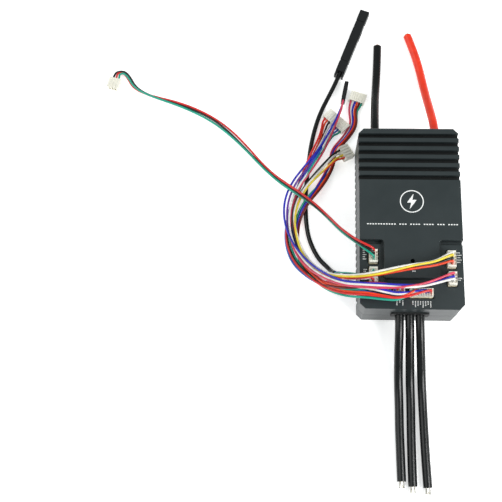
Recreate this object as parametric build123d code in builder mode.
"""Electronic speed controller for a brushless motor: a two-part aluminium case with its
boards, its header row, the plugs on the headers, and the heavy and signal leads.

Millimetres. +Z is up out of the connector face, +Y points at the battery leads and +X to
the side with two plugs. The origin is the centre of the case's underside.
"""

from math import cos, pi, radians, sin, tan
import os

from build123d import *

os.makedirs("parts", exist_ok=True)

# ---------------------------------------------------------------- driving dimensions

case_length = 116.0
case_width = 62.5
corner_cut = 3.2
wall = 2.5

base_height = 15.0
base_floor = 4.0
gasket_thickness = 0.4
cover_top = 36.0
cover_floor = base_height + gasket_thickness
ceiling = 30.0

step_top = 33.0
step_y = -15.5
tongue_half_width = 16.8
tongue_end = -39.5
relief_width = 2.2
relief_depth = 2.0

rib_count = 6
rib_pitch = 5.6
rib_groove = 3.0
rib_depth = 3.8
first_rib_y = 53.0

flute_count = 22
flute_pitch = 4.5
flute_radius = 1.7
flute_depth = 0.7

post_size = 6.0
screw_x = 25.7
screw_y = 52.4
screw_hole = 3.2
screw_shank = 3.0

power_lead = 5.5
power_lead_z = 19.6
phase_pitch = 6.2
battery_x = 19.5
lug_face_y = 48.0
slot_width = 23.5
slot_top = 24.0
battery_hole = 8.5
grommet_stand = 1.0
lead_clearance = 0.05

pad_thickness = 0.5
power_board_z = base_floor + pad_thickness
power_board_thickness = 2.0
power_top = power_board_z + power_board_thickness
control_board_z = 26.0
board_thickness = 1.6
control_top = control_board_z + board_thickness

header_width = 5.2
header_wall = 0.6
header_height = 5.6
header_base = 1.0
header_top = control_top + header_height
pin_size = 0.6
pin_height = 4.6
plug_clearance = 0.15
plug_shoulder = header_top + 0.2
plug_top = 36.4
window_gap = 0.8
plug_travel = 6.0
coarse_pitch = 2.0
fine_pitch = 1.5

half_length = case_length / 2
half_width = case_width / 2

# name: (centre x, centre y, pins, pitch, runs along X)
headers = {
    "switch": (-23.0, -25.8, 3, coarse_pitch, False),
    "sensor": (-23.0, -39.8, 6, coarse_pitch, False),
    "can": (24.0, -27.1, 4, coarse_pitch, False),
    "receiver": (24.2, -39.2, 3, coarse_pitch, False),
    "data": (5.4, -48.2, 8, fine_pitch, True),
    "auxiliary": (-9.9, -46.8, 6, fine_pitch, True),
}

# ---------------------------------------------------------------- helpers


def save(piece, label):
    """Label one finished piece and write its STEP file."""
    piece.part.label = label
    export_step(piece.part, f"parts/{label}.step")


def housing_length(pins, pitch):
    """Outside length of a header for so many pins."""
    return pitch * (pins - 1) + (4.4 if pitch == coarse_pitch else 3.4)


def footprint(name, grow):
    """Size along X and Y of a header's outline, grown by so much on every side."""
    _, _, pins, pitch, along_x = headers[name]
    long_side = housing_length(pins, pitch) + 2 * grow
    short_side = header_width + 2 * grow
    return (long_side, short_side) if along_x else (short_side, long_side)


def pin_places(name):
    """Centre of each pin of a header, in the plane of the board."""
    x, y, pins, pitch, along_x = headers[name]
    offsets = [pitch * (i - (pins - 1) / 2) for i in range(pins)]
    return [(x + o, y) if along_x else (x, y + o) for o in offsets]


def bend_radii(route):
    """Largest even arc for each corner: 0.45 of the shorter run over tan of half the turn."""
    radii = []
    for before, corner, after in zip(route, route[1:], route[2:]):
        arriving = Vector(*corner) - Vector(*before)
        leaving = Vector(*after) - Vector(*corner)
        half_turn = radians(arriving.get_angle(leaving)) / 2
        radii.append(0.45 * min(arriving.length, leaving.length) / tan(half_turn))
    return radii


def make_lead(label, route, diameter):
    """A plain round tube along straight runs joined by tangent arcs."""
    radii = bend_radii(route)
    with BuildPart() as lead:
        with BuildLine():
            run = FilletPolyline(*route, radius=radii)
        with BuildSketch(Plane(origin=run @ 0, z_dir=run % 0)):
            Circle(diameter / 2)
        sweep(path=run)
    length = run.length
    ratio = lead.part.volume / (pi * diameter**2 / 4 * length)
    print(f"{label}: length {length:.1f}, tightest radius {min(radii):.1f}, volume ratio {ratio:.3f}")
    save(lead, label)


def octagon(shrink=0.0):
    """The case's outline, a rectangle with its corners cut, pulled in by so much."""
    width = case_width - 2 * shrink
    length = case_length - 2 * shrink
    Rectangle(width, length)
    cut = corner_cut - shrink * (2 - 2**0.5)
    chamfer(vertices(), length=cut)


# ---------------------------------------------------------------- case

with BuildPart() as base_heatsink:
    with BuildSketch():
        octagon()
    extrude(amount=base_height)
    chamfer(base_heatsink.faces().sort_by(Axis.Z)[0].edges(), length=0.4)
    # inside: a cross, so that a solid post is left in each corner
    with BuildSketch(Plane.XY.offset(base_floor)):
        Rectangle(case_width - 2 * wall, case_length - 2 * wall - 2 * post_size)
        Rectangle(case_width - 2 * wall - 2 * post_size, case_length - 2 * wall)
    extrude(amount=base_height, mode=Mode.SUBTRACT)
    # upright flutes down both long sides
    with BuildSketch():
        for side in (-1, 1):
            flute_x = side * (half_width + flute_radius - flute_depth)
            with Locations((flute_x, 0)):
                with GridLocations(0, flute_pitch, 1, flute_count):
                    Circle(flute_radius)
    extrude(amount=base_height, mode=Mode.SUBTRACT)
    # countersunk holes for the case screws, from below
    with Locations(Plane.XY * Rotation(180, 0, 0)):
        with GridLocations(2 * screw_x, 2 * screw_y, 2, 2):
            CounterSinkHole(screw_hole / 2, 3.1, depth=base_height)
    # blind holes for the power board's screws
    with Locations((0, 0, base_floor)):
        with GridLocations(46, 84, 2, 2):
            Hole(1.0, depth=3.0)
save(base_heatsink, "base_heatsink")

with BuildPart() as case_gasket:
    with BuildSketch(Plane.XY.offset(base_height)):
        octagon(0.5)
        with BuildSketch(mode=Mode.PRIVATE) as gasket_inside:
            octagon(wall - 0.2)
        add(gasket_inside.sketch, mode=Mode.SUBTRACT)
    extrude(amount=gasket_thickness)
save(case_gasket, "case_gasket")

with BuildPart() as top_cover:
    with BuildSketch(Plane.XY.offset(cover_floor)):
        octagon()
    extrude(amount=cover_top - cover_floor)
    # lower step on three sides of the central tongue
    with BuildSketch(Plane.XY.offset(step_top)):
        shoulder_depth = half_length + step_y
        with Locations((0, step_y - shoulder_depth / 2)):
            Rectangle(case_width + 2, shoulder_depth)
        tongue_length = step_y - tongue_end
        with BuildSketch(mode=Mode.PRIVATE) as tongue:
            with Locations((0, step_y - tongue_length / 2)):
                Rectangle(2 * tongue_half_width, tongue_length)
            fillet(tongue.vertices().group_by(Axis.Y)[0], radius=1.2)
        add(tongue.sketch, mode=Mode.SUBTRACT)
    extrude(amount=cover_top, mode=Mode.SUBTRACT)
    # the cutter leaves a radius where the shoulders meet the tongue
    corners = top_cover.edges().filter_by(Axis.Z).filter_by_position(Axis.Y, step_y - 0.1, step_y + 0.1)
    fillet(corners.filter_by_position(Axis.X, -tongue_half_width - 1, tongue_half_width + 1), radius=2.0)
    # milled relief at the foot of the step's three cross walls
    with BuildSketch(Plane.XY.offset(step_top - relief_depth)):
        shoulder_length = half_width - tongue_half_width
        for side in (-1, 1):
            with Locations((side * (tongue_half_width + 1.2 + shoulder_length / 2), step_y - relief_width / 2)):
                Rectangle(shoulder_length, relief_width)
        with Locations((0, tongue_end - relief_width / 2)):
            SlotOverall(2 * tongue_half_width, relief_width)
    extrude(amount=relief_depth + 0.01, mode=Mode.SUBTRACT)
    chamfer(top_cover.faces().sort_by(Axis.Z)[-1].edges(), length=0.35)
    # cooling grooves right across the battery end
    with BuildSketch(Plane.XY.offset(cover_top - rib_depth)):
        rib_middle = first_rib_y - rib_pitch * (rib_count - 1) / 2
        with Locations((0, rib_middle)):
            with GridLocations(0, rib_pitch, 1, rib_count):
                Rectangle(case_width + 2, rib_groove)
    extrude(amount=rib_depth + 1, mode=Mode.SUBTRACT)
    # inside, again with corner posts, and deeper under the plain part of the top
    with BuildSketch(Plane.XY.offset(cover_floor)):
        Rectangle(case_width - 2 * wall, case_length - 2 * wall - 2 * post_size)
        Rectangle(case_width - 2 * wall - 2 * post_size, case_length - 2 * wall)
    extrude(amount=ceiling - cover_floor, mode=Mode.SUBTRACT)
    # holes for the case screws, blind
    with BuildSketch(Plane.XY.offset(cover_floor)):
        with GridLocations(2 * screw_x, 2 * screw_y, 2, 2):
            Circle(screw_shank / 2 + lead_clearance)
    extrude(amount=9, mode=Mode.SUBTRACT)
    # one window for each header
    with BuildSketch(Plane.XY.offset(ceiling)):
        for name, (x, y, _, _, _) in headers.items():
            with Locations((x, y)):
                RectangleRounded(*footprint(name, window_gap), radius=1.2)
    extrude(amount=cover_top - ceiling, mode=Mode.SUBTRACT)
    # two light holes in the tongue
    with BuildSketch(Plane.XY.offset(ceiling)):
        with Locations((0.5, -28.8)):
            Circle(1.3)
        with Locations((0.3, -32.2)):
            Circle(0.8)
    extrude(amount=cover_top - ceiling, mode=Mode.SUBTRACT)
    # slot for the three phase leads, open down to the base
    with BuildSketch(Plane.XZ.offset(half_length - wall - 1)):
        slot_height = slot_top - cover_floor
        with Locations((0, cover_floor + slot_height / 2)):
            Rectangle(slot_width, slot_height)
        fillet(vertices().group_by(Axis.Z)[-1], radius=2.0)
    extrude(amount=wall + 2, mode=Mode.SUBTRACT)
    # two round holes for the battery leads
    with BuildSketch(Plane.XZ.offset(-half_length - 1)):
        with Locations((-battery_x, power_lead_z), (battery_x, power_lead_z)):
            Circle(battery_hole / 2)
    extrude(amount=wall + 2, mode=Mode.SUBTRACT)
save(top_cover, "top_cover")

with BuildPart() as case_screws:
    with BuildSketch(Plane.XY.offset(0.15)):
        with GridLocations(2 * screw_x, 2 * screw_y, 2, 2):
            Circle(2.9)
    extrude(amount=1.4, taper=45)
    with BuildSketch(Plane.XY.offset(0.15)):
        with GridLocations(2 * screw_x, 2 * screw_y, 2, 2):
            Circle(screw_shank / 2)
    extrude(amount=22)
    with BuildSketch(Plane.XY.offset(0.15)):
        with GridLocations(2 * screw_x, 2 * screw_y, 2, 2):
            RegularPolygon(1.15, 6)
    extrude(amount=1.2, mode=Mode.SUBTRACT)
save(case_screws, "case_screws")

# ---------------------------------------------------------------- power stage

with BuildPart() as thermal_pad:
    with BuildSketch(Plane.XY.offset(base_floor)):
        Rectangle(38, 92)
    extrude(amount=pad_thickness)
save(thermal_pad, "thermal_pad")

with BuildPart() as power_board:
    with BuildSketch(Plane.XY.offset(power_board_z)):
        Rectangle(56, 94.5)
        Rectangle(42, 108)
        with GridLocations(46, 84, 2, 2):
            Circle(1.3, mode=Mode.SUBTRACT)
    extrude(amount=power_board_thickness)
save(power_board, "power_board")


def pan_screws(label, places, bearing_z, shank, reach, head_height=1.4, head=2.1):
    """A set of pan-head screws, each head standing on the bearing face."""
    with BuildPart() as screws:
        with BuildSketch(Plane.XY.offset(bearing_z)):
            with Locations(*places):
                Circle(head)
        extrude(amount=head_height)
        chamfer(screws.faces().group_by(Axis.Z)[-1].edges(), length=0.35)
        with BuildSketch(Plane.XY.offset(bearing_z)):
            with Locations(*places):
                Circle(shank)
        extrude(amount=-reach)
        with BuildSketch(Plane.XY.offset(bearing_z + head_height)):
            with Locations(*places):
                Rectangle(2.4, 0.5)
                Rectangle(0.5, 2.4)
        extrude(amount=-0.8, mode=Mode.SUBTRACT)
    save(screws, label)


pan_screws(
    "power_board_screws",
    [(x, y) for x in (-23, 23) for y in (-42, 42)],
    power_top,
    0.95,
    power_top - base_floor + 2.4,
)

with BuildPart() as mosfets:
    transistor_places = [(x, y) for x in (-23.4, -6.5, 6.5, 23.4) for y in (-32, -20, -8)]
    with BuildSketch(Plane.XY.offset(power_top)):
        with Locations(*transistor_places):
            Rectangle(8, 10)
    extrude(amount=2.3)
    chamfer(mosfets.faces().group_by(Axis.Z)[-1].edges(), length=0.4)
save(mosfets, "mosfets")

with BuildPart() as current_shunts:
    with BuildSketch(Plane.XY.offset(power_top)):
        with Locations((-15, 5.8), (0, 5.8), (15, 5.8)):
            Rectangle(6.3, 2.8)
    extrude(amount=1.0)
save(current_shunts, "current_shunts")

with BuildPart() as capacitors:
    can_radius = 8.0
    can_start = 9.0
    can_length = 31.0
    with BuildSketch(Plane.XZ.offset(-can_start)):
        with Locations(*[(x, power_top + can_radius) for x in (-18, 0, 18)]):
            Circle(can_radius - 0.1)
    extrude(amount=-can_length)
    fillet(capacitors.faces().group_by(Axis.Y)[-1].edges(), radius=0.8)
    # rolled groove near the sealed end
    for x in (-18, 0, 18):
        with BuildSketch(Plane.XZ.offset(-(can_start + 3))):
            with Locations((x, power_top + can_radius)):
                Circle(can_radius)
                Circle(can_radius - 0.8, mode=Mode.SUBTRACT)
        extrude(amount=-1.2, mode=Mode.SUBTRACT)
save(capacitors, "capacitors")

with BuildPart() as phase_lugs:
    with BuildSketch(Plane.XY.offset(power_top)):
        with Locations((0, 2 - lug_face_y)):
            with GridLocations(phase_pitch, 0, 3, 1):
                Rectangle(5.4, 4)
    extrude(amount=power_lead_z + 3 - power_top)
save(phase_lugs, "phase_lugs")

with BuildPart() as battery_lugs:
    with BuildSketch(Plane.XY.offset(power_top)):
        with Locations((-battery_x, lug_face_y - 2), (battery_x, lug_face_y - 2)):
            Rectangle(3.4, 4)
    extrude(amount=power_lead_z - 3 - power_top)
    with BuildSketch(Plane.XY.offset(power_lead_z - 3)):
        with Locations((-battery_x, lug_face_y - 2), (battery_x, lug_face_y - 2)):
            Rectangle(6.4, 4)
    extrude(amount=6)
save(battery_lugs, "battery_lugs")

# ---------------------------------------------------------------- control stage

spacer_places = [(-18, -51.2), (18, -51.2), (-16.5, -1.5), (16.5, -1.5)]

with BuildPart() as board_spacers:
    with BuildSketch(Plane.XY.offset(power_top)):
        with Locations(*spacer_places):
            RegularPolygon(2.5, 6)
    extrude(amount=control_board_z - power_top)
    with BuildSketch(Plane.XY.offset(control_board_z)):
        with Locations(*spacer_places):
            Circle(1.1)
    extrude(amount=-6, mode=Mode.SUBTRACT)
save(board_spacers, "board_spacers")

with BuildPart() as board_link:
    with BuildSketch(Plane.XY.offset(power_top)):
        with Locations((0, 2.2)):
            Rectangle(20.3, 2.5)
    extrude(amount=control_board_z - power_top)
    chamfer(board_link.edges().filter_by(Axis.Z), length=0.4)
save(board_link, "board_link")

with BuildPart() as control_board:
    with BuildSketch(Plane.XY.offset(control_board_z)):
        with Locations((0, -21.4)):
            Rectangle(56, 50.8)
        with Locations((0, -25)):
            Rectangle(42, 58)
        with Locations(*spacer_places):
            Circle(1.3, mode=Mode.SUBTRACT)
    extrude(amount=board_thickness)
save(control_board, "control_board")

pan_screws("control_board_screws", spacer_places, control_top, 1.0, board_thickness + 4)

with BuildPart() as control_chips:
    with BuildSketch(Plane.XY.offset(control_top)):
        with Locations((0, -13)):
            Rectangle(10, 10)
        with Locations((-11, -36), (0, -37.5), (11, -36)):
            Rectangle(7, 7)
        with Locations((-12, -12), (12, -14)):
            Rectangle(5, 4)
    extrude(amount=1.3)
    chamfer(control_chips.faces().group_by(Axis.Z)[-1].edges(), length=0.2)
save(control_chips, "control_chips")

with BuildPart() as status_lights:
    with BuildSketch(Plane.XY.offset(control_top)):
        with Locations((0.5, -28.8), (0.3, -32.2)):
            Rectangle(1.6, 0.9)
    extrude(amount=0.7)
save(status_lights, "status_lights")

# ---------------------------------------------------------------- headers and their plugs

for name, (x, y, pins, pitch, along_x) in headers.items():
    inner = footprint(name, -header_wall)
    with BuildPart() as header:
        with BuildSketch(Plane.XY.offset(control_top)):
            with Locations((x, y)):
                Rectangle(*footprint(name, 0))
        extrude(amount=header_height)
        with BuildSketch(Plane.XY.offset(control_top + header_base)):
            with Locations((x, y)):
                Rectangle(*inner)
        extrude(amount=header_height, mode=Mode.SUBTRACT)
        with BuildSketch(Plane.XY.offset(control_top)):
            with Locations(*pin_places(name)):
                Rectangle(pin_size + 0.1, pin_size + 0.1)
        extrude(amount=header_base, mode=Mode.SUBTRACT)
    save(header, f"{name}_header")

with BuildPart() as header_pins:
    with BuildSketch(Plane.XY.offset(control_top)):
        for name in headers:
            with Locations(*pin_places(name)):
                Rectangle(pin_size, pin_size)
    extrude(amount=pin_height)
save(header_pins, "header_pins")

for name, (x, y, pins, pitch, along_x) in headers.items():
    skirt = footprint(name, -header_wall - plug_clearance)
    cap = footprint(name, -plug_clearance)
    pocket = (0.95 * pitch * 0.72, 1.7) if along_x else (1.7, 0.95 * pitch * 0.72)
    rib = (cap[0] * 0.62, 0.45) if along_x else (0.45, cap[1] * 0.62)
    rib_side = (0, header_width / 2 - 0.55) if along_x else (header_width / 2 - 0.55, 0)
    with BuildPart() as plug:
        with BuildSketch(Plane.XY.offset(control_top + header_base + 0.2)):
            with Locations((x, y)):
                Rectangle(*skirt)
        extrude(amount=plug_shoulder - control_top - header_base - 0.2)
        with BuildSketch(Plane.XY.offset(plug_shoulder)):
            with Locations((x, y)):
                RectangleRounded(*cap, radius=0.35)
        extrude(amount=plug_top - plug_shoulder)
        # sockets for the pins, from below
        with BuildSketch(Plane.XY.offset(control_top + header_base + 0.2)):
            with Locations(*pin_places(name)):
                Rectangle(pin_size + 0.3, pin_size + 0.3)
        extrude(amount=pin_height - header_base + 0.2, mode=Mode.SUBTRACT)
        # wire pockets, from above
        with BuildSketch(Plane.XY.offset(plug_top)):
            with Locations(*pin_places(name)):
                Rectangle(*pocket)
        extrude(amount=-0.9, mode=Mode.SUBTRACT)
        # keying groove along one long side of the cap
        with BuildSketch(Plane.XY.offset(plug_top)):
            with Locations((x + rib_side[0], y + rib_side[1])):
                Rectangle(*rib)
        extrude(amount=-0.5, mode=Mode.SUBTRACT)
    save(plug, f"{name}_plug")

# ---------------------------------------------------------------- grommets and power leads

with BuildPart() as phase_grommet:
    fill_width = slot_width - 0.2
    fill_height = slot_top - cover_floor - 0.1
    fill_middle = cover_floor + 0.05 + fill_height / 2
    with BuildSketch(Plane.XZ.offset(half_length - wall)):
        with Locations((0, fill_middle)):
            Rectangle(fill_width, fill_height)
        fillet(vertices().group_by(Axis.Z)[-1], radius=1.9)
    extrude(amount=wall + grommet_stand)
    with BuildSketch(Plane.XZ.offset(half_length - wall - 1)):
        with Locations((0, power_lead_z)):
            with GridLocations(phase_pitch, 0, 3, 1):
                Circle(power_lead / 2 + lead_clearance)
    extrude(amount=wall + 3, mode=Mode.SUBTRACT)
save(phase_grommet, "phase_grommet")

with BuildPart() as battery_grommets:
    grommet_places = [(-battery_x, power_lead_z), (battery_x, power_lead_z)]
    with BuildSketch(Plane.XZ.offset(-half_length)):
        with Locations(*grommet_places):
            Circle(battery_hole / 2 - lead_clearance)
    extrude(amount=wall)
    with BuildSketch(Plane.XZ.offset(-half_length)):
        with Locations(*grommet_places):
            Circle(battery_hole / 2 + 1.1)
    extrude(amount=-grommet_stand)
    chamfer(battery_grommets.faces().group_by(Axis.Y)[-1].edges(), length=0.4)
    with BuildSketch(Plane.XZ.offset(-half_length - 2)):
        with Locations(*grommet_places):
            Circle(power_lead / 2 + lead_clearance)
    extrude(amount=wall + 4, mode=Mode.SUBTRACT)
save(battery_grommets, "battery_grommets")

make_lead(
    "battery_lead_negative",
    [
        (-19.5, 48, 19.6),
        (-19.5, 64.5, 19.6),
        (-18.7, 81, 13.6),
        (-17.5, 95.5, 6.6),
        (-16.4, 108, 3.4),
        (-15.6, 121.5, 2.85),
        (-15.1, 134.5, 2.8),
    ],
    power_lead,
)
make_lead(
    "battery_lead_positive",
    [
        (19.5, 48, 19.6),
        (19.5, 64.5, 19.6),
        (17.8, 81, 13.2),
        (16.3, 95.5, 6.4),
        (14.7, 108, 3.3),
        (12.6, 119.5, 2.85),
        (9.5, 131.5, 2.8),
        (5.6, 143, 2.8),
    ],
    power_lead,
)

phase_routes = {
    "a": [
        (-6.2, -48, 19.6),
        (-6.2, -65, 19.6),
        (-6.4, -81, 12.6),
        (-6.0, -96, 5.0),
        (-5.6, -110, 2.9),
        (-5.7, -126, 2.8),
        (-5.4, -142, 2.85),
        (-5.1, -156.9, 2.8),
    ],
    "b": [
        (0, -48, 19.6),
        (0, -65, 19.6),
        (0.5, -81, 12.6),
        (1.1, -96, 5.0),
        (1.5, -110, 2.9),
        (1.3, -127, 2.8),
        (1.3, -144, 2.85),
        (1.5, -159.7, 2.8),
    ],
    "c": [
        (6.2, -48, 19.6),
        (6.2, -65, 19.6),
        (7.2, -81, 12.6),
        (8.2, -96, 5.0),
        (8.7, -110, 2.9),
        (9.1, -127, 2.8),
        (9.6, -144, 2.85),
        (10.4, -160.2, 2.8),
    ],
}
strand_diameter = 3.2
strand_length = 4.0

for phase, route in phase_routes.items():
    make_lead(f"phase_lead_{phase}", route, power_lead)
    end = Vector(*route[-1])
    heading = (end - Vector(*route[-2])).normalized()
    with BuildPart() as bare_end:
        with BuildSketch(Plane(origin=end, z_dir=heading)):
            Circle(strand_diameter / 2)
        extrude(amount=strand_length)
        chamfer(bare_end.faces().sort_by(Axis.Y)[0].edges(), length=0.5)
    save(bare_end, f"phase_end_{phase}")

# ---------------------------------------------------------------- signal leads

# Each of these tubes stands for a loose bunch of thin wires, so its bends follow the wires'
# own diameter of 1.6, or 1.0 in the sensor lead. A jointed plug carries its own first bend
# of lead, which ends on an upright plane where the lead on the case begins.
bend = 5.0
rise = 1.4
bend_top = plug_top + rise + bend

# name: (diameter, heading of the first bend in degrees from +X, how far it reaches out)
pulled_leads = {
    "switch": (3.0, 148, 6.0),
    "can": (3.6, 203, 6.0),
    "receiver": (3.2, 200, 6.0),
    "data": (5.0, 201, 8.5),
    "auxiliary": (4.2, 177, 6.0),
}
bend_ends = {}
lead_starts = {}

for name, (diameter, heading, reach) in pulled_leads.items():
    x, y = headers[name][:2]
    out = Vector(cos(radians(heading)), sin(radians(heading)), 0)
    foot = Vector(x, y, plug_top)
    corner = foot + Vector(0, 0, rise + bend)
    bend_ends[name] = corner + out * reach
    lead_starts[name] = [tuple(bend_ends[name]), tuple(bend_ends[name] + out * 6)]
    with BuildPart() as first_bend:
        with BuildLine():
            run = FilletPolyline(foot, corner, bend_ends[name], radius=bend)
        with BuildSketch(Plane(origin=run @ 0, z_dir=run % 0)):
            Circle(diameter / 2)
        sweep(path=run)
    save(first_bend, f"{name}_lead_bend")

signal_routes = {
    "switch": [
        (-38.8, -13.4, 38.0),
        (-44.0, -6.3, 31.0),
        (-50.0, 3.2, 22.0),
        (-58.2, 13.8, 14.0),
        (-68.0, 22.6, 10.6),
        (-77.2, 29.6, 9.0),
        (-86.0, 37.8, 5.4),
        (-94.8, 47.4, 2.4),
        (-104.2, 58.2, 1.6),
        (-115.0, 69.2, 1.6),
        (-126.2, 78.4, 1.6),
        (-139.6, 85.8, 1.6),
        (-153.4, 91.2, 1.6),
        (-166.6, 95.4, 1.6),
        (-176.8, 99.6, 1.6),
        (-183.2, 104.2, 1.8),
        (-186.6, 110.0, 2.2),
        (-190.6, 114.6, 2.4),
        (-195.2, 114.0, 2.4),
        (-196.4, 109.2, 2.4),
    ],
    "can": [
        (2.0, -33.4, 43.7),
        (-9.0, -35.4, 43.8),
        (-20.0, -36.9, 43.7),
        (-30.5, -37.3, 43.0),
        (-40.2, -35.2, 38.4),
        (-49.5, -29.0, 27.5),
        (-58.0, -20.0, 15.2),
        (-65.2, -9.0, 7.6),
        (-71.0, 2.0, 5.2),
        (-72.0, 12.5, 4.8),
        (-69.6, 22.5, 5.4),
        (-64.6, 31.2, 5.9),
        (-57.6, 38.6, 6.2),
        (-50.8, 45.6, 7.1),
        (-45.0, 51.3, 7.15),
        (-40.5, 52.8, 5.2),
    ],
    "receiver": [
        (3.0, -43.6, 43.7),
        (-8.0, -42.2, 43.7),
        (-19.5, -41.4, 43.6),
        (-31.0, -41.7, 43.0),
        (-41.0, -41.0, 38.4),
        (-51.0, -35.6, 26.0),
        (-60.6, -26.5, 13.0),
        (-69.4, -14.5, 6.4),
        (-74.2, -3.0, 4.8),
        (-75.8, 8.5, 4.6),
        (-74.2, 20.0, 4.8),
        (-69.8, 30.8, 5.2),
        (-62.8, 40.4, 5.7),
        (-55.8, 51.0, 5.5),
        (-50.2, 61.0, 6.0),
        (-46.0, 70.0, 7.2),
        (-42.2, 79.4, 7.7),
        (-40.2, 86.6, 4.0),
        (-39.2, 91.8, 4.0),
    ],
    "data": [
        (-18.5, -52.8, 43.6),
        (-29.0, -51.8, 43.0),
        (-39.5, -50.9, 38.0),
        (-51.0, -44.4, 24.0),
        (-61.2, -33.2, 10.8),
        (-70.8, -21.0, 4.4),
        (-77.2, -7.0, 2.8),
        (-79.8, 8.0, 2.8),
        (-78.0, 22.0, 3.4),
        (-72.8, 34.5, 5.6),
        (-65.8, 45.2, 6.2),
        (-59.6, 55.4, 6.2),
        (-54.0, 64.6, 4.6),
        (-50.2, 71.0, 2.5),
        (-46.2, 75.2, 2.5),
    ],
    "auxiliary": [
        (-31.0, -46.5, 42.8),
        (-39.0, -45.3, 38.0),
        (-46.2, -41.2, 26.0),
        (-52.6, -34.8, 12.4),
        (-57.8, -27.0, 4.6),
        (-62.6, -17.0, 2.4),
        (-66.4, -6.0, 2.3),
        (-67.8, 4.0, 2.8),
        (-66.8, 12.2, 4.8),
        (-63.4, 20.2, 6.2),
        (-58.0, 28.2, 4.6),
        (-52.2, 37.2, 2.5),
        (-46.6, 47.2, 2.3),
        (-45.8, 56.4, 2.3),
        (-37.4, 65.4, 2.3),
        (-31.2, 75.4, 2.3),
        (-32.4, 85.6, 2.4),
        (-30.2, 92.0, 2.4),
    ],
}

for name, route in signal_routes.items():
    make_lead(f"{name}_lead", [*lead_starts[name], *route], pulled_leads[name][0])

sensor_wire_bunch = 2.0
sensor_sheath = 3.0
sheath_start = (-45.2, -30.5, 11.5)
make_lead(
    "sensor_wires",
    [
        (-23.0, -40.5, 36.4),
        (-23.0, -40.5, 39.6),
        (-25.8, -40.4, 41.0),
        (-30.2, -40.2, 40.4),
        (-35.6, -39.4, 37.6),
        (-40.2, -37.0, 30.0),
        (-43.2, -33.8, 20.6),
        sheath_start,
    ],
    sensor_wire_bunch,
)
sensor_route = [
    sheath_start,
    (-46.6, -28.19, 5.13),
    (-50.4, -23.4, 2.0),
    (-54.8, -19.0, 1.6),
    (-58.6, -12.4, 1.6),
    (-61.8, -4.0, 1.6),
    (-63.4, 6.0, 1.6),
    (-63.9, 18.0, 1.6),
    (-63.6, 31.0, 1.6),
    (-62.4, 44.0, 1.6),
    (-61.0, 58.0, 1.6),
    (-58.4, 71.6, 1.6),
    (-54.4, 84.8, 1.6),
    (-48.2, 98.0, 1.6),
    (-43.4, 107.9, 2.9),
    (-40.9, 114.6, 2.9),
]
make_lead("sensor_cable", sensor_route, sensor_sheath)

# ---------------------------------------------------------------- far-end housings




def last_run(route):
    """Where a lead ends and the direction it arrives in."""
    end = Vector(*route[-1])
    return end, (end - Vector(*route[-2])).normalized()


def lying_housing(label, route, length, depth, pins, pitch):
    """A flat wire housing at the end of a lead, square to the lead's last run."""
    entry, out = last_run(route)
    side = Vector(-out.Y, out.X, 0).normalized()
    face = Plane(origin=entry, x_dir=side, z_dir=out)
    upward = out.cross(side)
    roof = Plane(origin=entry + upward * housing_thickness / 2 + out * depth / 2, x_dir=side, z_dir=upward)
    with BuildPart() as housing:
        with BuildSketch(face):
            RectangleRounded(length, housing_thickness, radius=0.4)
        extrude(amount=depth)
        # wire pockets in the back face
        with BuildSketch(face):
            with GridLocations(pitch, 0, pins, 1):
                Rectangle(0.68 * pitch, 1.7)
        extrude(amount=0.9, mode=Mode.SUBTRACT)
        # latch windows in the flat top
        with BuildSketch(roof):
            with GridLocations(pitch, 0, pins, 1):
                Rectangle(0.42 * pitch, 0.36 * depth)
        extrude(amount=-0.5, mode=Mode.SUBTRACT)
    save(housing, label)


housing_thickness = 4.8
lying_housing("switch_end_housing", signal_routes["switch"], 7.9, 7.5, 3, coarse_pitch)
lying_housing("can_end_housing", signal_routes["can"], 9.9, 7.5, 4, coarse_pitch)
lying_housing("data_end_housing", signal_routes["data"], 17.9, 7.5, 8, coarse_pitch)
lying_housing("auxiliary_end_housing", signal_routes["auxiliary"], 10.9, 7.0, 6, fine_pitch)

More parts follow.
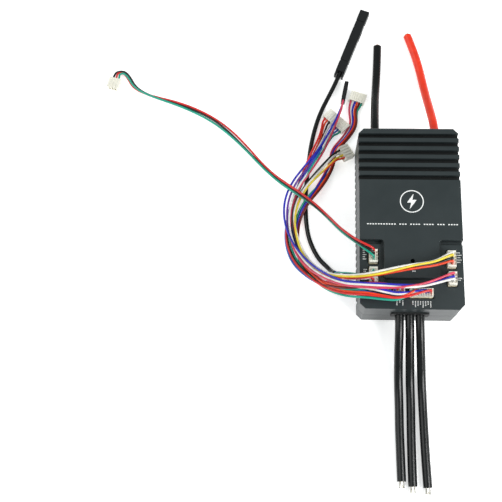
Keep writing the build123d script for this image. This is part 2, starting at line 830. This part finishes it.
receiver_entry, receiver_out = last_run(signal_routes["receiver"])
receiver_side = Vector(-receiver_out.Y, receiver_out.X, 0)
with BuildPart() as receiver_end_housing:
    # a slim three-way housing standing on its narrow edge
    receiver_length = 14.0
    with BuildSketch(Plane(origin=receiver_entry, x_dir=receiver_side, z_dir=receiver_out)):
        RectangleRounded(2.6, 7.6, radius=0.3)
    extrude(amount=receiver_length)
    receiver_tip = receiver_entry + receiver_out * receiver_length
    with BuildSketch(Plane(origin=receiver_tip, x_dir=receiver_side, z_dir=receiver_out)):
        with GridLocations(0, 2.54, 1, 3):
            Rectangle(0.9, 0.9)
    extrude(amount=-4, mode=Mode.SUBTRACT)
save(receiver_end_housing, "receiver_end_housing")

cable_end, connector_out = last_run(sensor_route)
connector_side = Vector(-connector_out.Y, connector_out.X, 0)
connector_width = 6.4
connector_height = 5.6


def slice_plane(distance):
    """Cross-section plane of the in-line connector, so far along it from the cable's end."""
    return Plane(origin=cable_end + connector_out * distance, x_dir=connector_side, z_dir=connector_out)


with BuildPart() as sensor_end_body:
    # a collar with two legs that reach back beside the cable
    with BuildSketch(slice_plane(0)):
        RectangleRounded(connector_width, connector_height, radius=0.8)
    extrude(amount=7.5)
    with BuildSketch(slice_plane(0)):
        for side in (-1, 1):
            with Locations((side * (connector_width / 2 - 0.75), 0)):
                Rectangle(1.5, connector_height - 1.6)
    extrude(amount=-4.0)
    # a groove, the long body, and the neck the cap fits on
    with BuildSketch(slice_plane(7.5)):
        RectangleRounded(connector_width - 0.8, connector_height - 0.8, radius=0.6)
    extrude(amount=1.2)
    with BuildSketch(slice_plane(8.7)):
        RectangleRounded(connector_width, connector_height, radius=0.9)
    extrude(amount=31.5)
    with BuildSketch(slice_plane(40.2)):
        RectangleRounded(connector_width - 0.8, connector_height - 0.8, radius=0.6)
    extrude(amount=1.0)
save(sensor_end_body, "sensor_end_body")

with BuildPart() as sensor_end_cap:
    with BuildSketch(slice_plane(41.2)):
        RectangleRounded(connector_width + 0.3, connector_height, radius=0.9)
    extrude(amount=8.5)
    fillet(sensor_end_cap.faces().sort_by(Axis.Y)[-1].edges(), radius=0.7)
save(sensor_end_cap, "sensor_end_cap")
